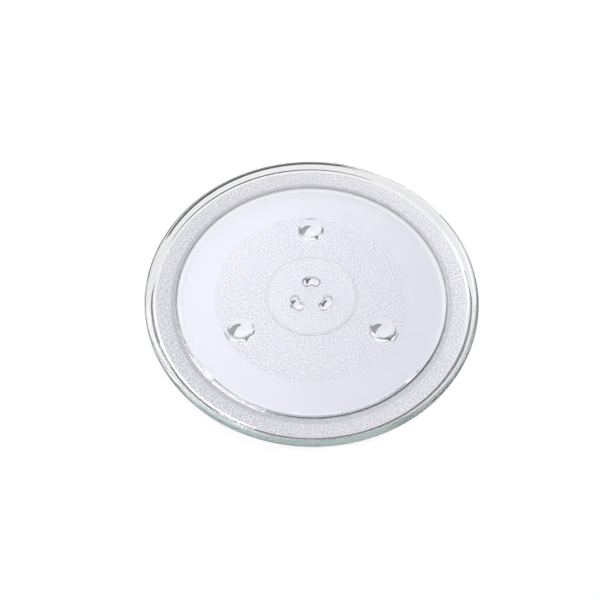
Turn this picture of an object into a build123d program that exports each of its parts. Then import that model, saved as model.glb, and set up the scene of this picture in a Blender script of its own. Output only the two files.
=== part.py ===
from build123d import *
import math
import os

# Overall sizes in millimetres, the plate standing on its feet with the food side up
PLATE_D = 315.0  # widest diameter, on the rim
GLASS = 5.0  # thickness of the flat floor over the roller track
FEET = 3  # feet and lugs, equally spaced
FIRST_ANGLE = 90.0  # direction of the first foot and the first lug

# Ring widths outside the flat floor, from the floor outwards, as seen from above
RISER_W = 3.2
FLANGE_W = 17.7
LIP_W = 9.2

# How much each of those rings climbs
RISER_H = 1.8
FLANGE_H = 3.3
LIP_H = 5.1

# Crest of the lip, from the pressed edge on the inside, over the crown, to the outer face
CREST_W = 5.2  # from the pressed edge to the widest radius
CREST_SLOPE = 10.0  # degrees that the strip beside the pressed edge climbs
CROWN_R = 3.4
SIDE_R = 2.6
SIDE_FROM = 42.0  # degrees above level where the crown gives way to the side
OUTER_FACE_H = 9.7  # from the crest down to the underside corner
OUTER_LEAN = 8.4  # how far that corner is drawn in from the widest radius

# Underside riser
UNDER_RISER_IN = 3.2  # from the floor's edge inwards to its foot
UNDER_RISER_W = 4.2
UNDER_RISER_H = 2.5

# Roller track and the patterned disc inside it
TRACK_W = 34.8  # from the floor's edge inwards
TRACK_STEP = 0.25  # the patterned disc is this much thinner
TRACK_SLOPE_W = 0.6
RING_D = 86.6  # thin locating ring round the drive lugs
RING_W = 2.4  # at its foot
RING_TIP_W = 0.8
RING_H = 0.45

# Feet, domes with a small ground flat at the tip
FOOT_H = 5.5  # from the table to the roller track
FOOT_D = 26.0
FOOT_FLAT_D = 5.0
FOOT_EDGE_GAP = 3.1  # from a foot to the roller track
FOOT_ROOT_R = 0.8

# Drive lugs, kidney-shaped with the hollow side towards the centre
LUG_R = 17.2  # from the centre to the back of the bend's middle line
LUG_BEND_R = 7.0
LUG_BEND_ANGLE = 76.0
LUG_W = 9.0
LUG_TABLE_GAP = 0.7  # the lugs stay this far above the table
LUG_DRAFT = 9.0
LUG_TIP_BEVEL = 1.0

# Softened corners of the pressed section
FLANGE_CORNER_R = 5.0
OUTER_CORNER_R = 4.0

# Levels and radii that follow from the sizes above
TRACK_Z = FOOT_H
DISC_Z = TRACK_Z + TRACK_STEP
FLOOR_Z = TRACK_Z + GLASS
RISER_Z = FLOOR_Z + RISER_H
FLANGE_Z = RISER_Z + FLANGE_H
CREST_Z = FLANGE_Z + LIP_H
RIM_R = PLATE_D / 2
FLANGE_OUT_R = RIM_R - LIP_W
RISER_OUT_R = FLANGE_OUT_R - FLANGE_W
FLOOR_OUT_R = RISER_OUT_R - RISER_W
DISC_R = FLOOR_OUT_R - TRACK_W
RING_R = RING_D / 2
FOOT_CIRCLE_R = DISC_R - FOOT_EDGE_GAP - FOOT_D / 2
LUG_H = DISC_Z - LUG_TABLE_GAP
ROOT = GLASS / 2  # how deep feet and lugs are rooted in the glass


def polar(centre, radius, degrees):
    """The point at an angle on a circle."""
    return centre + Vector(radius, 0).rotate(Axis.Z, degrees)


def tangent(point, centre):
    """The angle on the lip's side arc where a line from a point below it just touches."""
    way = centre - Vector(*point)
    return math.degrees(math.atan2(way.Y, way.X) - math.asin(SIDE_R / way.length)) - 90


def held(before, corner, after, radius):
    """A corner's radius, held to a little under half of the shorter wall beside it."""
    walls = [(Vector(*end) - Vector(*corner)) for end in (before, after)]
    half_turn = math.radians(180 - walls[0].get_angle(walls[1])) / 2
    return min(radius, 0.45 * min(wall.length for wall in walls) / math.tan(half_turn))


def soften(sketch, corner, radius):
    """Round the sketch's corner nearest to a point."""
    target = Vector(*corner)
    vertex = min(sketch.vertices(), key=lambda v: (Vector(*v) - target).length)
    return fillet(vertex, radius)


def crest(outer_foot):
    """The lip's edge: where it starts on the inside, its two arcs, and the angle of each end."""
    step = polar(Vector(0, 0), CROWN_R - SIDE_R, SIDE_FROM)
    crown = Vector(RIM_R - SIDE_R - step.X, CREST_Z - CROWN_R)
    side = crown + step
    start = polar(crown, CROWN_R, 90 + CREST_SLOPE)
    edge_r = RIM_R - CREST_W
    edge = (edge_r, start.Y - (start.X - edge_r) * math.tan(math.radians(CREST_SLOPE)))
    fall = tangent(outer_foot, side)
    spans = ((crown, CROWN_R, 90 + CREST_SLOPE, SIDE_FROM), (side, SIDE_R, SIDE_FROM, fall))
    arcs = [ThreePointArc(*(polar(c, r, angle) for angle in (a, (a + b) / 2, b))) for c, r, a, b in spans]
    return edge, start, arcs, polar(side, SIDE_R, fall)


def section():
    """Half of the pressed section, radius along X and height along Y."""
    centre = (0, FLOOR_Z)
    riser_foot, riser_top = (FLOOR_OUT_R, FLOOR_Z), (RISER_OUT_R, RISER_Z)
    inner_foot = (FLANGE_OUT_R, FLANGE_Z)
    outer_foot = (RIM_R - OUTER_LEAN, CREST_Z - OUTER_FACE_H)
    under_foot = (FLOOR_OUT_R - UNDER_RISER_IN, TRACK_Z)
    under_top = (under_foot[0] + UNDER_RISER_W, TRACK_Z + UNDER_RISER_H)
    edge, crown_start, arcs, outer = crest(outer_foot)
    half, tip = RING_W / 2, RING_TIP_W / 2

    lines = Polyline(centre, riser_foot, riser_top, inner_foot, edge, crown_start)
    for arc in arcs:
        lines += arc
    lines += Polyline(outer, outer_foot, under_top, under_foot, (DISC_R, TRACK_Z),
                      (DISC_R - TRACK_SLOPE_W, DISC_Z), (RING_R + half, DISC_Z),
                      (RING_R + tip, DISC_Z - RING_H), (RING_R - tip, DISC_Z - RING_H),
                      (RING_R - half, DISC_Z), (0, DISC_Z), centre)
    face = make_face(lines)

    for before, corner, after, radius in (
        (riser_top, inner_foot, edge, FLANGE_CORNER_R),
        (outer, outer_foot, under_top, OUTER_CORNER_R),
    ):
        face = soften(face, corner, held(before, corner, after, radius))
    return face


def foot():
    """One foot about its own axis, rooted in the glass."""
    base, flat = FOOT_D / 2, FOOT_FLAT_D / 2
    ball = (base**2 - flat**2 + DISC_Z**2) / (2 * DISC_Z)
    ball_r = math.hypot(flat, ball)
    lean = (math.asin(base / ball_r) + math.asin(flat / ball_r)) / 2
    middle = (ball_r * math.sin(lean), ball - ball_r * math.cos(lean))
    lines = Polyline((0, 0), (flat, 0)) + ThreePointArc((flat, 0), middle, (base, DISC_Z))
    skirt = base + 2 * FOOT_ROOT_R
    lines += Polyline((base, DISC_Z), (skirt, DISC_Z), (skirt, DISC_Z + ROOT), (0, DISC_Z + ROOT), (0, 0))
    face = soften(make_face(lines), (base, DISC_Z), FOOT_ROOT_R)
    return revolve(Plane.XZ * face, Axis.Z)


def kidney():
    """Outline of a lug, its bend open towards the origin along -X."""
    start = -LUG_BEND_ANGLE / 2
    bend = CenterArc((0, 0), LUG_BEND_R, start, LUG_BEND_ANGLE)
    return Pos(LUG_R - LUG_BEND_R, 0) * SlotArc(bend, LUG_W)


def lug():
    """One drive lug, drafted towards its tip and rooted in the glass."""
    outline = Pos(0, 0, DISC_Z) * kidney()
    body = extrude(outline, -LUG_H, taper=LUG_DRAFT)
    tip = body.faces().sort_by(Axis.Z)[0]
    body = chamfer(tip.edges(), LUG_TIP_BEVEL)
    return body + extrude(outline, ROOT)


def around(piece, radius=0.0):
    """Copies of a piece about the plate's centre, turned to face outwards."""
    return [spot * piece for spot in PolarLocations(radius, FEET, start_angle=FIRST_ANGLE)]


def plate():
    """The whole plate, one piece of pressed glass."""
    body = revolve(Plane.XZ * section(), Axis.Z)
    body += around(foot(), FOOT_CIRCLE_R)
    return body + around(lug())


def main():
    os.makedirs("parts", exist_ok=True)
    glass = plate()
    glass.label = "plate"
    export_step(glass, "parts/plate.step")
    box = glass.bounding_box()
    print("solids", len(glass.solids()), "valid", glass.is_valid, "volume cm3", round(glass.volume / 1000, 1))
    print("box", [round(v, 3) for v in (*box.min, *box.max)])


if __name__ == "__main__":
    main()
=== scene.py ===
import bmesh
import bpy
import math
from mathutils import Matrix, Vector


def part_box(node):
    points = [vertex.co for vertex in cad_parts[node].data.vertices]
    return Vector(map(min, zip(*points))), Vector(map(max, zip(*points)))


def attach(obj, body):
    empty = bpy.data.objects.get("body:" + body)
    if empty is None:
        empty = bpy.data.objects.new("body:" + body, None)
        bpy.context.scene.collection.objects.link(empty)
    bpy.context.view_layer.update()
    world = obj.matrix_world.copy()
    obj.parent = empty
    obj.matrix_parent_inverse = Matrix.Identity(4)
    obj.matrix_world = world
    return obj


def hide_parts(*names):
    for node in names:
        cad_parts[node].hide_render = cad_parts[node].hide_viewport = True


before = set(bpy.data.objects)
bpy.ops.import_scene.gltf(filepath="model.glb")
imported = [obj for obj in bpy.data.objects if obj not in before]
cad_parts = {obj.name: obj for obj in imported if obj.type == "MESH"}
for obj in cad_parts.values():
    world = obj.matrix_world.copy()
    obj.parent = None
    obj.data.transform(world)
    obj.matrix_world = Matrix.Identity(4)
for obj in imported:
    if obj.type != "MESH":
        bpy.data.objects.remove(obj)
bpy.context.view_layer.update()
PLATE_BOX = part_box("plate")

bl_info = {
    "name": "Microwave turntable plate",
    "version": (1, 0, 0),
    "blender": (4, 5, 0),
    "location": "3D View > Sidebar > Turntable plate",
    "description": "Builds a pressed glass turntable plate and the table it is shown on",
    "category": "Add Mesh",
}

SAME = 1e-6  # points closer than this are one, in metres
STEP_TURN = math.radians(6)  # how far a rounded corner turns between two points
DOME_EASE = 0.94  # the dome's rounding is a little tighter, to stay clear of the ones beside it

# Steps of a lug: along its bend, round each end, and down its root, wall and tip
BEND_STEPS, END_STEPS = 16, 18
ROOT_STEPS, WALL_STEPS, TIP_STEPS = 6, 3, 10

# Margins of the zones of the glass, in metres
LEVEL = 0.0001  # heights closer than this are one level
SOFT = 0.0003  # how softly a narrow zone ends
SOFTER = 0.0006  # how softly a wide zone ends
MARGIN = 0.001  # how far a zone stays off the corner beside it
BAND_W = 0.006  # width of the band beside the riser whose creases get painted shade
WALL_LOW = 0.0022  # a lug's wall gets a painted shade line from this height up
LUGS_R = 0.03  # a circle round all the lugs
FAR = 1.0  # a radius beyond the plate

# Where a change in the glass's skin starts and where it is full
DOT_FADE = (0.5, 0.2)  # distance from the middle of the pressed dots, in spacings, for the painted shade there
CREASE_FADE = (0.5, 0.8)  # relief of the band's creases, for their painted shade
RIM_FADE = (0.1, 0.5)  # how far the rim turns away from the eye, for its painted shade line
CORNER_FADE = (0.16, 0.3)  # how far the floor's corner turns away, for its painted shade line
PATCH_FADE = (0.86, 0.995)  # cosine of the angle off the middle of the painted reflection patch

GRAIN = 2.2  # grains to a spacing of the dots
GRAIN_DEPTH = 0.5  # the grain's share of the relief
HUB_DEPTH = 0.5  # the hub's relief against that of the disc

TABLE_STEPS = 96
CARD_STEPS = 48
SLIVER_Z = 0.0004  # height of the painted shadow slivers over the table

# Lamps: name, azimuth, distance, height, width and length, strength. Azimuths run clockwise from the
# back, in degrees.
LAMPS = (
    ("softbox_right", 30, 1.35, 0.5, (0.9, 0.7), 1.9),
    ("softbox_left", 300, 1.0, 0.6, (0.6, 0.5), 3.2),
)
# Cards bent round the plate: name, brightness, azimuths, (radius, height) of the lower and the upper edge,
# whether the glass mirrors them, and whether they are seen through it
CARDS = (
    ("card_back", 0.02, (-60, 8), (1.5, 0.0), (1.5, 0.9), True, True),
    ("card_front", 0.03, (60, 270), (1.5, 0.0), (1.5, 1.2), True, True),
    ("card_over", 0.02, (-150, -32), (1.5, 0.9), (0.5, 2.6), False, True),
    # Painted highlight: highlight_card glows only in what the glass mirrors and lights nothing
    ("highlight_card", 16.0, (4, 34), (1.5, 0.2), (1.5, 0.62), True, False),
)
# Painted shadow slivers beside the rim, dark strips seen only through the glass: name, brightness, azimuths,
# radius, width, how much further out they lie at the front and the back, and how soon that fades towards the
# sides
RIM_SHADOW_SLIVERS = (
    ("rim_shadow_back", 0.0, (-68, 26), 0.1575, 0.0042, 0.0052, 2),
    ("rim_shadow_front", 0.2, (78, 280), 0.1595, 0.0048, -0.008, 1),
)
# Painted shadow slivers beside a foot and a lug: name, brightness, azimuths, radius and width
FOOT_SHADOW_SLIVER = ("foot_shadow", 0.3, (-120, 0), 0.0075, 0.0045)
LUG_SHADOW_SLIVER = ("lug_shadow", 0.02, (-125, 5), 0.004, 0.003)


def length(name, description, metres):
    """A length setting, in metres."""
    return bpy.props.FloatProperty(
        name=name, description=description, default=metres, min=0.0, precision=5,
        unit="LENGTH", subtype="DISTANCE")


def angle(name, description, degrees):
    """An angle setting, given in degrees and kept in radians."""
    return bpy.props.FloatProperty(
        name=name, description=description, default=math.radians(degrees), unit="ROTATION", subtype="ANGLE")


def colour(name, description, value):
    """A colour setting."""
    return bpy.props.FloatVectorProperty(
        name=name, description=description, default=value, size=3, min=0.0, max=1.0, subtype="COLOR")


def plain(name, description, value, top=1000.0):
    """A setting without a unit."""
    return bpy.props.FloatProperty(name=name, description=description, default=value, min=0.0, max=top)


def count(name, description, value):
    """A whole number of steps or pieces."""
    return bpy.props.IntProperty(name=name, description=description, default=value, min=1)


class SectionSizes(bpy.types.PropertyGroup):
    """The pressed section that is turned about the plate's axis."""

    rim_r: length("Rim radius", "Widest radius of the rim", PLATE_BOX[1].x)
    crest_z: length("Crest height", "Height of the rim over the table", PLATE_BOX[1].z)
    floor_z: length("Floor height", "Height of the food side over the table", 0.0105)
    floor_r: length("Floor radius", "Where the flat floor ends", 0.1274)
    riser_r: length("Riser radius", "Where the short riser ends", 0.1306)
    riser_z: length("Riser height", "Height of the riser's top", 0.0123)
    flange_r: length("Flange radius", "Where the flange meets the lip", 0.1483)
    flange_z: length("Flange height", "Height of the flange at the lip", 0.0156)
    crest_w: length("Crest width", "From the pressed edge to the widest radius", 0.0052)
    crest_slope: angle("Crest slope", "Climb of the strip beside the pressed edge", 10.0)
    crown_r: length("Crown radius", "Roundness of the crest's top", 0.0034)
    side_r: length("Side radius", "Roundness of the crest's side", 0.0026)
    side_from: angle("Side start", "Where the crown gives way to the side", 42.0)
    outer_foot_r: length("Outer face foot", "Radius of the outer face's lower corner", 0.1491)
    outer_foot_z: length("Outer face height", "Height of the outer face's lower corner", 0.0110)
    under_top_r: length("Under riser top", "Radius of the underside riser's top", 0.1284)
    under_top_z: length("Under riser height", "Height of the underside riser's top", 0.0080)
    under_foot_r: length("Under riser foot", "Radius of the underside riser's foot", 0.1242)
    track_z: length("Track height", "Height of the roller track over the table", 0.0055)
    disc_r: length("Disc radius", "Where the roller track meets the patterned disc", 0.0926)
    disc_slope_w: length("Disc step width", "Width of the step up to the disc", 0.0006)
    disc_z: length("Disc height", "Height of the patterned disc over the table", 0.00575)
    ring_r: length("Ring radius", "Radius of the thin locating ring", 0.0433)
    ring_w: length("Ring width", "Width of the locating ring at its foot", 0.0024)
    ring_tip_w: length("Ring tip width", "Width of the locating ring at its tip", 0.0008)
    ring_h: length("Ring height", "How far the locating ring stands proud", 0.00045)
    step_soft: length("Step softness", "Rounding of the riser's corners", 0.0016)
    under_soft: length("Under riser softness", "Rounding of the underside riser's foot", 0.0015)
    flange_soft: length("Flange softness", "Rounding where flange and lip meet", 0.005)
    foot_soft: length("Outer softness", "Rounding of the outer face's foot", 0.004)
    edge_soft: length("Edge softness", "Rounding of the pressed edge", 0.00035)
    fine_soft: length("Fine softness", "Rounding of the disc's step and the ring", 0.00025)
    hold: length("Holding width", "Flat strip kept beside each rounded corner", 0.0004)
    turn_steps: count("Turn steps", "Steps of the full turn", 360)


class FootSizes(bpy.types.PropertyGroup):
    """The three domes that the plate stands on."""

    number: count("Feet", "Number of feet and of lugs", 3)
    first: angle("First angle", "Direction of the first foot and the first lug", 90.0)
    circle_r: length("Foot circle", "Radius of the circle the feet stand on", 0.0765)
    base_r: length("Foot radius", "Radius of a foot where it meets the disc", 0.013)
    flat_r: length("Foot flat", "Radius of the ground flat at a foot's tip", 0.0025)
    root_soft: length("Root softness", "Rounding where a foot meets the disc", 0.0008)
    tip_soft: length("Tip softness", "Rounding of the ground flat's edge", 0.0015)
    turn_steps: count("Turn steps", "Steps of a foot's full turn", 72)


class LugSizes(bpy.types.PropertyGroup):
    """The three kidney shaped drive lugs round the centre."""

    bend_at: length("Bend centre", "Radius of the centre a lug bends about", 0.0102)
    bend_r: length("Bend radius", "Radius of the bend's middle line", 0.007)
    bend: angle("Bend angle", "How far a lug bends round", 76.0)
    width: length("Lug width", "Width of a lug where it meets the disc", 0.009)
    tip_z: length("Table gap", "Height of a lug's tip over the table", 0.0007)
    draft: angle("Draft", "Lean of a lug's wall", 9.0)
    root_soft: length("Root softness", "Rounding where a lug meets the disc", 0.0006)
    tip_soft: length("Tip softness", "Rounding of a lug's tip", 0.0013)


class GlassLook(bpy.types.PropertyGroup):
    """Colours and relief of the pressed glass."""

    top: colour("Top tint", "Tint of the smooth food side", (0.97, 0.97, 0.98))
    track: colour("Track tint", "Tint of the roller track underneath", (0.82, 0.815, 0.87))
    disc: colour("Disc tint", "Tint of the stippled disc", (0.90, 0.895, 0.94))
    # Painted shade: the flange's tint is darker than the disc's for the light its stippled slope turns away
    flange: colour("Flange tint", "Tint of the stippled flange", (0.64, 0.63, 0.69))
    lip: colour("Lip tint", "Tint of the clear lip", (0.84, 0.84, 0.85))
    clear: colour("Thick tint", "Tint of the feet and lugs, where the glass is thick", (0.98, 0.98, 0.99))
    # Painted shade: the middles of the pressed dots are tinted dark, standing in for dark surroundings seen
    # through the stipple
    dot: colour("Dot tint", "Tint at the middle of the pressed dots", (0.08, 0.08, 0.1))
    # Painted shade: near-black lines on the rim's outline, the floor's corner, the lugs' walls and the ring
    edge: colour("Line tint", "Tint of the dark lines on rim, corner, lugs and ring", (0.008, 0.009, 0.012))
    shade: colour("Shade tint", "Tint of the light that lamps send through the plate", (0.80, 0.80, 0.86))
    depth: colour("Depth tint", "Tint of a long way through the glass", (0.902, 0.928, 0.922))
    density: plain("Depth density", "How soon the depth tint shows, per metre", 30.0)
    ior: plain("Refraction", "How far the glass bends light", 1.52, 3.0)
    roughness: plain("Roughness", "Polish of the clear glass, 0 is clean", 0.0, 1.0)
    stipple_size: length("Stipple size", "Spacing of the pressed dots", 0.0020)
    stipple_depth: length("Stipple depth", "Relief of the pressed dots", 0.0009)
    stipple_strength: plain("Stipple strength", "How much of that relief shows", 0.15, 1.0)
    # How much painted shade the pressed dots' middles get on the disc, the hub and the flange
    disc_dot_shading: plain("Disc specks", "Share of the dot tint on the disc", 0.36, 1.0)
    hub_dot_shading: plain("Hub specks", "Share of the dot tint inside the ring", 0.27, 1.0)
    flange_dot_shading: plain("Flange specks", "Share of the dot tint on the flange", 0.5, 1.0)
    # Painted shade in the creases of the band beside the riser
    band_crease_shade: plain("Band creases", "Share of the dot tint in the creases beside the riser", 0.6, 1.0)
    # How much painted shade each dark line gets
    rim_shade_line: plain("Rim line", "Share of the line tint on the rim's outline", 0.95, 1.0)
    corner_shade_line: plain("Corner line", "Share of the line tint at the floor's corner", 0.97, 1.0)
    lug_shade_line: plain("Lug line", "Share of the line tint on the lugs' walls", 0.8, 1.0)
    ring_shade_line: plain("Ring line", "Share of the line tint on the locating ring", 0.6, 1.0)
    wave_size: length("Wave size", "Spacing of the faint pressing waves", 0.03)
    wave_depth: length("Wave depth", "Relief of the faint pressing waves", 0.00002)


class StageLook(bpy.types.PropertyGroup):
    """Table, light and camera."""

    floor_r: length("Table radius", "Radius of the table", 4.0)
    floor: colour("Table colour", "Colour of the table", (0.87, 0.87, 0.87))
    glow: plain("Table glow", "What brings the table to white as seen by the camera", 0.26, 1.0)
    sky: plain("Soft light", "Strength of the even light all round", 0.8, 4.0)
    # Painted reflection: the bright patch shows only in what the glass mirrors and lights nothing
    patch: bpy.props.FloatVectorProperty(
        name="Bright patch", description="Direction of the brighter part of the surroundings",
        default=(-0.35, 0.55, 0.8), size=3, subtype="DIRECTION")
    patch_strength: plain("Bright patch strength", "How much brighter that part shines", 1.7, 20.0)
    aim: bpy.props.FloatVectorProperty(
        name="Aim", description="Point the camera looks at", default=(-0.010955, -0.00065, 0.0),
        size=3, unit="LENGTH", subtype="XYZ")
    distance: length("Camera distance", "From the aim to the camera", 0.8)
    elevation: angle("Camera elevation", "How far the camera looks down", 58.53)
    focal: plain("Focal length", "Focal length on a 36 mm sensor, in millimetres", 49.68)


def link(name, mesh_maker, material=None, smooth=True):
    """A new object whose mesh is made by a function that fills a bmesh."""
    bm = bmesh.new()
    mesh_maker(bm)
    mesh = bpy.data.meshes.new(name)
    bm.to_mesh(mesh)
    bm.free()
    mesh.polygons.foreach_set("use_smooth", [smooth] * len(mesh.polygons))
    made = bpy.data.objects.new(name, mesh)
    bpy.context.scene.collection.objects.link(made)
    if material is not None:
        mesh.materials.append(material)
    return made


def at(centre, radius, turn):
    """A point on a circle, turn in radians."""
    return Vector((centre.x + radius * math.cos(turn), centre.y + radius * math.sin(turn)))


def arc_corner(centre, radius, start, end):
    """The corner whose rounding is the arc from start to end about centre."""
    corner = at(centre, radius / math.cos((start - end) / 2), (start + end) / 2)
    return corner.x, corner.y, radius


def crest_corners(s):
    """Corners of the lip's edge: the pressed edge, the crown and the side."""
    step = at(Vector((0, 0)), s.crown_r - s.side_r, s.side_from)
    crown = Vector((s.rim_r - s.side_r - step.x, s.crest_z - s.crown_r))
    side = crown + step
    start_turn = math.pi / 2 + s.crest_slope
    start = at(crown, s.crown_r, start_turn)
    edge_r = s.rim_r - s.crest_w
    edge_z = start.y - (start.x - edge_r) * math.tan(s.crest_slope)
    way = side - Vector((s.outer_foot_r, s.outer_foot_z))
    end_turn = math.atan2(way.y, way.x) - math.asin(s.side_r / way.length) - math.pi / 2
    return [
        (edge_r, edge_z, s.edge_soft),
        arc_corner(crown, s.crown_r, start_turn, s.side_from),
        arc_corner(side, s.side_r, s.side_from, end_turn),
    ]


def outer_corners(s):
    """The section from the middle of the food side, over the rim, to the patterned disc."""
    slope_r = s.disc_r - s.disc_slope_w
    return [
        (0.0, s.floor_z, 0.0),
        (s.floor_r, s.floor_z, s.step_soft),
        (s.riser_r, s.riser_z, s.step_soft),
        (s.flange_r, s.flange_z, s.flange_soft),
        *crest_corners(s),
        (s.outer_foot_r, s.outer_foot_z, s.foot_soft),
        (s.under_top_r, s.under_top_z, 2 * s.under_soft),
        (s.under_foot_r, s.track_z, s.under_soft),
        (s.disc_r, s.track_z, s.fine_soft),
        (slope_r, s.disc_z, s.fine_soft),
        (slope_r - 3 * s.hold, s.disc_z, 0.0),
    ]


def ring_corners(s):
    """The section of the thin locating ring, with a flat strip on both sides."""
    foot, tip, low = s.ring_w / 2, s.ring_tip_w / 2, s.disc_z - s.ring_h
    return [
        (s.ring_r + foot + 3 * s.hold, s.disc_z, 0.0),
        (s.ring_r + foot, s.disc_z, s.fine_soft),
        (s.ring_r + tip, low, s.fine_soft),
        (s.ring_r - tip, low, s.fine_soft),
        (s.ring_r - foot, s.disc_z, s.fine_soft),
        (s.ring_r - foot - 3 * s.hold, s.disc_z, 0.0),
    ]


def foot_corners(s, f):
    """Half the section of a foot about its own axis, from its tip to the disc."""
    base, flat, high = f.base_r, f.flat_r, s.disc_z
    ball_z = (base**2 - flat**2 + high**2) / (2 * high)
    ball_r = math.hypot(flat, ball_z)
    start, end = -math.acos(flat / ball_r), -math.acos(base / ball_r)
    dome = arc_corner(Vector((0, ball_z)), ball_r, start, end)
    return [
        (0.0, 0.0, 0.0),
        (flat, 0.0, f.tip_soft),
        (dome[0], dome[1], DOME_EASE * ball_r),
        (base, high, f.root_soft),
        (base + f.root_soft + 3 * s.hold, high, 0.0),
    ]


def turned_by(points, i):
    """How far the chain turns at a point, in radians."""
    return math.pi - (points[i - 1] - points[i]).angle(points[i + 1] - points[i])


def chain(bm, corners, hold):
    """An open chain of edges in the XZ plane, its corners rounded and its flats held flat."""
    points = [Vector((r, 0, z)) for r, z, _ in corners]
    inner = range(1, len(points) - 1)
    turns = [0.0] + [turned_by(points, i) for i in inner] + [0.0]
    cuts = [corners[i][2] * math.tan(turns[i] / 2) for i in range(len(points))]
    verts, rounded = [], []
    for i, point in enumerate(points):
        verts.append(bm.verts.new(point))
        if cuts[i]:
            steps = max(2, math.ceil(turns[i] / STEP_TURN))
            rounded.append((verts[-1], cuts[i], steps))
        if i + 1 < len(points):
            wall = points[i + 1] - point
            if wall.length > cuts[i] + cuts[i + 1] + 3 * hold:
                for along in (cuts[i] + hold, wall.length - cuts[i + 1] - hold):
                    verts.append(bm.verts.new(point + wall.normalized() * along))
    for a, b in zip(verts, verts[1:]):
        bm.edges.new((a, b))
    for vert, cut, steps in rounded:
        bmesh.ops.bevel(bm, geom=[vert], offset=cut, offset_type="OFFSET", segments=steps,
                        profile=0.5, affect="VERTICES", material=-1, clamp_overlap=False)


def turn_round(bm, steps):
    """Spin everything in the bmesh a full turn about the axis, and close the pole."""
    bmesh.ops.spin(bm, geom=bm.verts[:] + bm.edges[:], cent=(0, 0, 0), axis=(0, 0, 1),
                   angle=2 * math.pi, steps=steps, use_merge=True)
    pole = [v for v in bm.verts if math.hypot(v.co.x, v.co.y) < SAME]
    bmesh.ops.remove_doubles(bm, verts=pole, dist=SAME)


def add_part(bm, maker, place=None):
    """Build a part in a bmesh of its own and bring it in, moved and turned into place."""
    part = bmesh.new()
    maker(part)
    if place is not None:
        bmesh.ops.transform(part, matrix=place, verts=part.verts[:])
    mesh = bpy.data.meshes.new("part")
    part.to_mesh(mesh)
    part.free()
    bm.from_mesh(mesh)
    bpy.data.meshes.remove(mesh)


def kidney(bm, lug, flare):
    """The outline of a lug as a flat patch facing down, bent round a point on the X axis."""
    half = lug.width / 2 + flare
    ends = (-lug.bend / 2, lug.bend / 2)
    centre = Vector((lug.bend_at, 0, 0))
    way = Vector((math.cos(ends[0]), math.sin(ends[0]), 0))
    across = [bm.verts.new(centre + way * (lug.bend_r + side)) for side in (-half, 0, half)]
    strip = [bm.edges.new(pair) for pair in zip(across, across[1:])]
    bmesh.ops.spin(bm, geom=across + strip, cent=centre, axis=(0, 0, 1), angle=lug.bend,
                   steps=BEND_STEPS)
    for end, sense in zip(ends, (-1, 1)):
        way = Vector((math.cos(end), math.sin(end), 0))
        middle = centre + way * lug.bend_r
        radius = [bm.verts.new(middle), bm.verts.new(middle + way * half)]
        radius.append(bm.edges.new(radius))
        bmesh.ops.spin(bm, geom=radius, cent=middle, axis=(0, 0, 1), angle=sense * math.pi,
                       steps=END_STEPS)
    bmesh.ops.remove_doubles(bm, verts=bm.verts[:], dist=SAME)
    bmesh.ops.recalc_face_normals(bm, faces=bm.faces[:])
    up = [f for f in bm.faces if f.normal.z > 0]
    bmesh.ops.reverse_faces(bm, faces=up)


def lug_steps(s, lug):
    """How far each ring of a lug's wall lies in and down from its outline."""
    wall = math.pi / 2 - lug.draft
    root = [(lug.root_soft * math.sin(t), lug.root_soft * (1 - math.cos(t)))
            for t in (wall * i / ROOT_STEPS for i in range(1, ROOT_STEPS + 1))]
    tip = [(lug.tip_soft * (math.sin(wall) - math.sin(t)), lug.tip_soft * (math.cos(t) - math.cos(wall)))
           for t in (wall * (1 - i / TIP_STEPS) for i in range(1, TIP_STEPS + 1))]
    straight = s.disc_z - lug.tip_z - root[-1][1] - tip[-1][1]
    steps = [(s.hold, 0.0)]
    steps += [(s.hold + x, y) for x, y in root]
    foot = steps[-1]
    lean = math.tan(lug.draft)
    steps += [(foot[0] + straight * lean * i / WALL_STEPS, foot[1] + straight * i / WALL_STEPS)
              for i in range(1, WALL_STEPS + 1)]
    top = steps[-1]
    return steps + [(top[0] + x, top[1] + y) for x, y in tip]


def drive_lug(s, lug):
    """A function that makes one lug: its outline, drawn in and down ring by ring."""
    def maker(bm):
        kidney(bm, lug, s.hold + lug.root_soft * math.tan((math.pi / 2 - lug.draft) / 2))
        inner, done = bm.faces[:], (0.0, 0.0)
        for step in lug_steps(s, lug):
            bmesh.ops.inset_region(bm, faces=inner, thickness=step[0] - done[0],
                                   depth=step[1] - done[1], use_boundary=True, use_even_offset=True)
            done = step
    return maker


def close_flat(bm, loops):
    """Fill a flat patch that faces down between boundary loops."""
    bmesh.ops.triangle_fill(bm, use_beauty=True, edges=loops, normal=(0, 0, -1))


def plate_mesh(s, foot, lug):
    """A function that makes the whole plate as one closed skin of glass."""
    def maker(bm):
        def turned(corners, steps):
            def spun(part):
                chain(part, corners, s.hold)
                turn_round(part, steps)
            return spun

        add_part(bm, turned(outer_corners(s), s.turn_steps))
        add_part(bm, turned(ring_corners(s), s.turn_steps))
        for i in range(foot.number):
            spot = Matrix.Rotation(foot.first + 2 * math.pi * i / foot.number, 4, "Z")
            out = spot @ Matrix.Translation((foot.circle_r, 0, 0))
            add_part(bm, turned(foot_corners(s, foot), foot.turn_steps), out)
            add_part(bm, drive_lug(s, lug), spot @ Matrix.Translation((0, 0, s.disc_z)))
        open_edges = [e for e in bm.edges if e.is_boundary]
        outside = [e for e in open_edges if math.hypot(*e.verts[0].co.xy) > s.ring_r]
        inside = [e for e in open_edges if math.hypot(*e.verts[0].co.xy) < s.ring_r]
        close_flat(bm, outside)
        close_flat(bm, inside)
        bmesh.ops.recalc_face_normals(bm, faces=bm.faces[:])
        if any(not e.is_manifold for e in bm.edges):
            raise RuntimeError("the plate's skin is not closed")
    return maker


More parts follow.
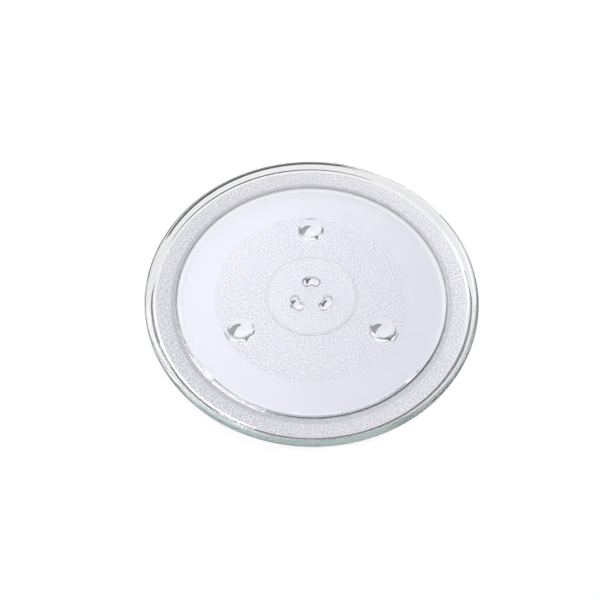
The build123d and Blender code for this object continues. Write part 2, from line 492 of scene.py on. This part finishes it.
class Nodes:
    """Short calls for building a node tree."""

    def __init__(self, material):
        material.use_nodes = True
        self.tree = material.node_tree
        self.tree.nodes.clear()

    def node(self, kind, **settings):
        made = self.tree.nodes.new(kind)
        for key, value in settings.items():
            setattr(made, key, value)
        return made

    def put(self, socket, value):
        """Link a socket's value to an input, or set a plain one."""
        if isinstance(value, bpy.types.NodeSocket):
            self.tree.links.new(value, socket)
        else:
            socket.default_value = value

    def feed(self, node, **inputs):
        """Fill inputs by name, with underscores for spaces."""
        for key, value in inputs.items():
            self.put(node.inputs[key.replace("_", " ")], value)
        return node

    def math(self, operation, a, b, clamp=False):
        made = self.node("ShaderNodeMath", operation=operation, use_clamp=clamp)
        self.put(made.inputs[0], a)
        self.put(made.inputs[1], b)
        return made.outputs[0]

    def product(self, a, *others):
        for other in others:
            a = self.math("MULTIPLY", a, other)
        return a

    def weighed(self, zones, **shares):
        """The sum of the named zones, each times its share."""
        total = 0.0
        for name, share in shares.items():
            total = self.math("ADD", total, self.math("MULTIPLY", zones[name], share))
        return total

    def ramp(self, value, fade, top=1.0):
        """0 where a fade starts and top where it is full, straight in between."""
        made = self.feed(self.node("ShaderNodeMapRange"), Value=value,
                         From_Min=fade[0], From_Max=fade[1], To_Max=top)
        return made.outputs[0]

    def between(self, value, low, high, soft):
        """1 where a value lies between two limits, with soft edges."""
        rise = self.ramp(value, (low - soft, low + soft))
        fall = self.ramp(value, (high + soft, high - soft))
        return self.math("MULTIPLY", rise, fall)

    def blend(self, share, first, second):
        """A colour that goes from first to second as share goes from 0 to 1."""
        made = self.node("ShaderNodeMix", data_type="RGBA")
        self.put(made.inputs["Factor"], share)
        for socket, value in ((made.inputs[6], first), (made.inputs[7], second)):
            self.put(socket, value if isinstance(value, bpy.types.NodeSocket) else (*value, 1))
        return made.outputs[2]

    def mix(self, share, first, second):
        """A shader that goes from first to second as share goes from 0 to 1."""
        made = self.node("ShaderNodeMixShader")
        for socket, value in zip(made.inputs, (share, first, second)):
            self.put(socket, value)
        return made.outputs[0]

    def light_path(self, ray):
        return self.node("ShaderNodeLightPath").outputs[ray]

    def seen(self):
        """1 for the rays that look at the background, straight or by way of glass and mirrors."""
        either = self.math("MAXIMUM", self.light_path("Is Camera Ray"), self.light_path("Is Glossy Ray"))
        return self.math("MAXIMUM", either, self.light_path("Is Transmission Ray"))

    def show(self, **sockets):
        """The material's output."""
        self.feed(self.node("ShaderNodeOutputMaterial"), **sockets)


def plate_zones(n, s, place):
    """Masks over the plate, each 1 inside its zone and 0 outside."""
    split = n.feed(n.node("ShaderNodeSeparateXYZ"), Vector=place)
    flat = n.feed(n.node("ShaderNodeCombineXYZ"), X=split.outputs["X"], Y=split.outputs["Y"])
    away = n.node("ShaderNodeVectorMath", operation="LENGTH")
    n.put(away.inputs[0], flat.outputs[0])
    radius, height = away.outputs["Value"], split.outputs["Z"]

    def ring(inner, outer, soft):
        return n.between(radius, inner, outer, soft)

    ring_edge = s.ring_w / 2 + s.hold
    disc_edge = s.disc_r - s.disc_slope_w - 2 * LEVEL
    below = n.math("LESS_THAN", height, (s.under_top_z + s.flange_z) / 2)
    disc_level = n.between(height, s.disc_z - LEVEL, s.disc_z + LEVEL, LEVEL / 2)
    ring_level = n.between(height, s.disc_z - 4 * LEVEL, s.disc_z - LEVEL, LEVEL / 2)
    wall_level = n.between(height, WALL_LOW, s.disc_z - 5 * LEVEL, 4 * LEVEL)
    return {
        "below": below,
        "hub": n.product(ring(-FAR, s.ring_r - ring_edge, SOFT), disc_level),
        "disc": n.product(ring(s.ring_r + ring_edge, disc_edge, SOFT), disc_level),
        "rise": ring(s.under_foot_r + SOFT, s.under_top_r, SOFT),
        "band": n.product(ring(s.under_top_r + SOFT, s.under_top_r + BAND_W, SOFTER), below),
        "flange": n.product(ring(s.under_top_r, s.flange_r, 4 * LEVEL), below),
        "lip": ring(s.flange_r + MARGIN, FAR, SOFTER),
        # crown, corner, wall and thin only place the painted shade lines
        "crown": ring(s.rim_r - s.crown_r, FAR, SOFTER),
        "corner": n.product(ring(s.floor_r - SOFTER, s.floor_r + 3 * SOFTER, SOFT),
                            n.math("GREATER_THAN", height, s.floor_z - LEVEL)),
        "proud": n.product(n.math("LESS_THAN", height, s.disc_z - 2 * LEVEL),
                           n.math("LESS_THAN", radius, s.disc_r - MARGIN)),
        "wall": n.product(wall_level, n.math("LESS_THAN", radius, LUGS_R)),
        "thin": n.product(ring(s.ring_r - s.ring_w / 2, s.ring_r + s.ring_w / 2, 2 * LEVEL), ring_level),
    }


def glass_tint(n, look, zones, dots, relief):
    """Colour of the glass's skin: zone by zone, with the flange darker as painted shade; then painted shade
    at the pressed dots' middles and in the band's creases; then painted shade lines.
    """
    tint = n.blend(zones["below"], look.top, look.track)
    tint = n.blend(n.math("ADD", zones["disc"], zones["hub"]), tint, look.disc)
    # The flange's darker tint is painted shade
    tint = n.blend(zones["flange"], tint, look.flange)
    tint = n.blend(zones["lip"], tint, look.lip)
    tint = n.blend(zones["proud"], tint, look.clear)

    # Painted shade at the middles of the pressed dots on disc, hub and flange
    dot_shading = n.weighed(zones, disc=look.disc_dot_shading, hub=look.hub_dot_shading, flange=look.flange_dot_shading)
    dot_shading = n.math("MULTIPLY", dot_shading, n.ramp(dots, DOT_FADE), clamp=True)
    tint = n.blend(dot_shading, tint, look.dot)
    # Painted shade: the creases of the band beside the riser are darkened
    creases = n.product(zones["band"], look.band_crease_shade, n.ramp(relief, CREASE_FADE))
    tint = n.blend(creases, tint, look.dot)
    tint = n.blend(zones["rise"], tint, look.clear)

    # Painted shade lines: on the rim and the floor's corner where they turn away from the eye, and on the
    # lugs' walls and the ring
    facing = n.node("ShaderNodeLayerWeight").outputs["Facing"]
    for line in (
        n.product(n.ramp(facing, CORNER_FADE, look.corner_shade_line), zones["corner"]),
        n.product(zones["wall"], look.lug_shade_line),
        n.product(zones["thin"], look.ring_shade_line),
        n.product(n.ramp(facing, RIM_FADE, look.rim_shade_line), zones["crown"]),
    ):
        tint = n.blend(line, tint, look.edge)
    return tint


def glass_material(look, s):
    """Pressed soda glass: clear and faintly waved, with a stippled disc and flange underneath."""
    material = bpy.data.materials.new("pressed_glass")
    n = Nodes(material)
    place = n.node("ShaderNodeTexCoord").outputs["Object"]
    zones = plate_zones(n, s, place)

    dots = n.feed(n.node("ShaderNodeTexVoronoi", voronoi_dimensions="2D"), Vector=place,
                  Scale=1 / look.stipple_size).outputs["Distance"]
    grain = n.feed(n.node("ShaderNodeTexNoise"), Vector=place, Scale=GRAIN / look.stipple_size, Detail=2.0)
    relief = n.math("ADD", dots, n.math("MULTIPLY", grain.outputs[0], GRAIN_DEPTH))
    strength = n.weighed(zones, disc=1.0, hub=HUB_DEPTH, flange=1.0, band=1.0)
    strength = n.math("MULTIPLY", strength, look.stipple_strength)
    stipple = n.feed(n.node("ShaderNodeBump"), Strength=strength, Distance=look.stipple_depth, Height=relief)
    waves = n.feed(n.node("ShaderNodeTexNoise"), Vector=place, Scale=1 / look.wave_size, Detail=1.0)
    skin = n.feed(n.node("ShaderNodeBump"), Strength=1.0, Distance=look.wave_depth,
                  Height=waves.outputs[0], Normal=stipple.outputs[0])

    tint = glass_tint(n, look, zones, dots, relief)
    glass = n.feed(n.node("ShaderNodeBsdfPrincipled"), Base_Color=tint, Roughness=look.roughness,
                   IOR=look.ior, Transmission_Weight=1.0, Normal=skin.outputs[0])
    lamp = n.feed(n.node("ShaderNodeBsdfTransparent"), Color=(*look.shade, 1))
    surface = n.mix(n.light_path("Is Shadow Ray"), glass.outputs[0], lamp.outputs[0])
    depth = n.feed(n.node("ShaderNodeVolumeAbsorption"), Color=(*look.depth, 1), Density=look.density)
    n.show(Surface=surface, Volume=depth.outputs[0])
    return material


def table_material(look):
    """Matt white table that reads as pure white and keeps the plate's shadow. From below it is clear."""
    material = bpy.data.materials.new("table")
    n = Nodes(material)
    matt = n.feed(n.node("ShaderNodeBsdfDiffuse"), Color=(*look.floor, 1))
    glow = n.feed(n.node("ShaderNodeEmission"), Strength=n.math("MULTIPLY", n.seen(), look.glow))
    both = n.node("ShaderNodeAddShader")
    n.put(both.inputs[0], matt.outputs[0])
    n.put(both.inputs[1], glow.outputs[0])
    clear = n.node("ShaderNodeBsdfTransparent")
    behind = n.node("ShaderNodeNewGeometry").outputs["Backfacing"]
    n.show(Surface=n.mix(behind, both.outputs[0], clear.outputs[0]))
    return material


def card_material(name, grey):
    """Flat card of an even brightness. It takes no light away from the table."""
    material = bpy.data.materials.new(name)
    n = Nodes(material)
    card = n.feed(n.node("ShaderNodeEmission"), Color=(grey, grey, grey, 1))
    clear = n.node("ShaderNodeBsdfTransparent")
    lights_table = n.math("GREATER_THAN", n.light_path("Diffuse Depth"), 0.5)
    n.show(Surface=n.mix(lights_table, card.outputs[0], clear.outputs[0]))
    return material


def card(name, grey, azimuths, low, high, mirrored, through, shape=None):
    """A card bent round the plate between two (radius, height), seen only in the glass."""
    start, end = azimuths

    def maker(bm):
        turn = Matrix.Rotation(math.radians(90 - start), 3, "Z")
        verts = [bm.verts.new(turn @ Vector((radius, 0, z))) for radius, z in (low, high)]
        edge = bm.edges.new(verts)
        bmesh.ops.spin(bm, geom=verts + [edge], cent=(0, 0, 0), axis=(0, 0, 1),
                       angle=-math.radians(end - start), steps=CARD_STEPS)
        if shape is not None:
            shape(bm)
    made = link(name, maker, card_material(name, grey))
    made.visible_camera = made.visible_diffuse = made.visible_shadow = False
    made.visible_glossy, made.visible_transmission = mirrored, through


def shadow_sliver(name, grey, azimuths, radius, width, further=0.0, fade=1, centre=(0.0, 0.0)):
    """A pointed strip of painted shadow on the table round a centre, just where the glass above it looks."""
    start, end = azimuths

    def shape(bm):
        for vert in bm.verts:
            lean = math.atan2(vert.co.x, vert.co.y)
            along = (math.degrees(lean) - start) % 360 / (end - start)
            side = 0.5 if vert.co.xy.length > radius + width / 2 else -0.5
            middle = radius + further * abs(math.cos(lean))**fade
            away = middle + side * width * math.sqrt(abs(math.sin(math.pi * along)))
            vert.co.xy = vert.co.xy.normalized() * away
        bmesh.ops.translate(bm, vec=(*centre, 0.0), verts=bm.verts[:])
    card(name, grey, azimuths, (radius, SLIVER_Z), (radius + width, SLIVER_Z), False, True, shape)


def softbox(name, azimuth, distance, height, size, radiance):
    """A lamp that points at the plate."""
    data = bpy.data.lights.new(name, "AREA")
    data.shape = "RECTANGLE"
    data.size, data.size_y = size
    data.energy = radiance * math.pi * size[0] * size[1]
    lamp = bpy.data.objects.new(name, data)
    way = math.radians(90 - azimuth)
    lamp.location = (distance * math.cos(way), distance * math.sin(way), height)
    lamp.rotation_euler = (-lamp.location).to_track_quat("-Z", "Y").to_euler()
    lamp.visible_camera = False
    bpy.context.scene.collection.objects.link(lamp)


def build_world(look):
    """Even white light, a white background for what the camera, glass and metal see, and a painted
    reflection: a bright patch that only the glass's mirror shows.
    """
    world = bpy.data.worlds.new("studio")
    bpy.context.scene.world = world
    world.cycles.sampling_method = "NONE"
    n = Nodes(world)
    way = n.node("ShaderNodeTexCoord").outputs["Generated"]
    lean = n.node("ShaderNodeVectorMath", operation="DOT_PRODUCT")
    n.put(lean.inputs[0], way)
    n.put(lean.inputs[1], Vector(look.patch).normalized())
    patch = n.feed(n.node("ShaderNodeMapRange", interpolation_type="SMOOTHSTEP"),
                   Value=lean.outputs["Value"], From_Min=PATCH_FADE[0], From_Max=PATCH_FADE[1])
    # Painted reflection: the patch brightens only what glossy rays see
    glossy = n.product(patch.outputs[0], n.light_path("Is Glossy Ray"), look.patch_strength)
    light, white = (
        n.feed(n.node("ShaderNodeBackground"), Color=(1, 1, 1, 1), Strength=strength).outputs[0]
        for strength in (look.sky, n.math("ADD", glossy, 1.0)))
    n.feed(n.node("ShaderNodeOutputWorld"), Surface=n.mix(n.seen(), light, white))


def build_camera(look):
    """The camera that took the photograph's view."""
    data = bpy.data.cameras.new("camera")
    data.sensor_width, data.lens = 36.0, look.focal
    data.clip_start, data.clip_end = 0.01, 50.0
    camera = bpy.data.objects.new("camera", data)
    back = Vector((0, -math.cos(look.elevation), math.sin(look.elevation)))
    camera.location = Vector(look.aim) + look.distance * back
    camera.rotation_euler = (math.pi / 2 - look.elevation, 0, 0)
    bpy.context.scene.collection.objects.link(camera)
    bpy.context.scene.camera = camera


class TURNTABLE_OT_plate(bpy.types.Operator):
    """Build the pressed glass plate with its feet and drive lugs"""

    bl_idname = "turntable.plate"
    bl_label = "Build plate"

    def execute(self, context):
        scene = context.scene
        sizes = scene.plate_section, scene.plate_feet, scene.plate_lugs
        glass = glass_material(scene.plate_glass, scene.plate_section)
        plate = link("pressed_plate", plate_mesh(*sizes), glass)
        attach(plate, "root")
        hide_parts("plate")
        return {"FINISHED"}


class TURNTABLE_OT_stage(bpy.types.Operator):
    """Build the white table, the lamps, the cards and the camera"""

    bl_idname = "turntable.stage"
    bl_label = "Build stage"

    def execute(self, context):
        scene, look = context.scene, context.scene.plate_stage
        scene.view_settings.view_transform = "Standard"
        scene.cycles.max_bounces = 48
        scene.cycles.glossy_bounces = 40
        scene.cycles.transmission_bounces = 24

        def disc(bm):
            bmesh.ops.create_circle(bm, cap_ends=True, segments=TABLE_STEPS, radius=look.floor_r)

        link("table", disc, table_material(look), smooth=False)
        build_world(look)
        for row in LAMPS:
            softbox(*row)
        for row in CARDS:
            card(*row)
        # Painted shadow: dark strips on the table beside the rim, the feet and the lugs, seen only through
        # the glass
        for row in RIM_SHADOW_SLIVERS:
            shadow_sliver(*row)
        feet, lugs = scene.plate_feet, scene.plate_lugs
        for i in range(feet.number):
            turn = feet.first + 2 * math.pi * i / feet.number
            way = Vector((math.cos(turn), math.sin(turn)))
            shadow_sliver(*FOOT_SHADOW_SLIVER, centre=way * feet.circle_r)
            shadow_sliver(*LUG_SHADOW_SLIVER, centre=way * (lugs.bend_at + lugs.bend_r))
        build_camera(look)
        return {"FINISHED"}


class TURNTABLE_PT_panel(bpy.types.Panel):
    """Lists the pieces and their sizes"""

    bl_label = "Turntable plate"
    bl_idname = "TURNTABLE_PT_panel"
    bl_space_type = "VIEW_3D"
    bl_region_type = "UI"
    bl_category = "Turntable plate"

    def draw(self, context):
        for operator, groups in STEPS:
            self.layout.operator(operator.bl_idname)
            for name in groups:
                group = getattr(context.scene, name)
                box = self.layout.box()
                for key in group.__annotations__:
                    box.prop(group, key)


GROUPS = {
    "plate_section": SectionSizes,
    "plate_feet": FootSizes,
    "plate_lugs": LugSizes,
    "plate_glass": GlassLook,
    "plate_stage": StageLook,
}
STEPS = (
    (TURNTABLE_OT_plate, ("plate_section", "plate_feet", "plate_lugs", "plate_glass")),
    (TURNTABLE_OT_stage, ("plate_stage",)),
)
CLASSES = (*GROUPS.values(), *(operator for operator, _ in STEPS), TURNTABLE_PT_panel)


def register():
    for cls in CLASSES:
        bpy.utils.register_class(cls)
    for name, cls in GROUPS.items():
        setattr(bpy.types.Scene, name, bpy.props.PointerProperty(type=cls))


def unregister():
    for name in GROUPS:
        delattr(bpy.types.Scene, name)
    for cls in reversed(CLASSES):
        bpy.utils.unregister_class(cls)


def main():
    register()
    bpy.ops.turntable.plate()
    bpy.ops.turntable.stage()


if __name__ == "__main__":
    main()
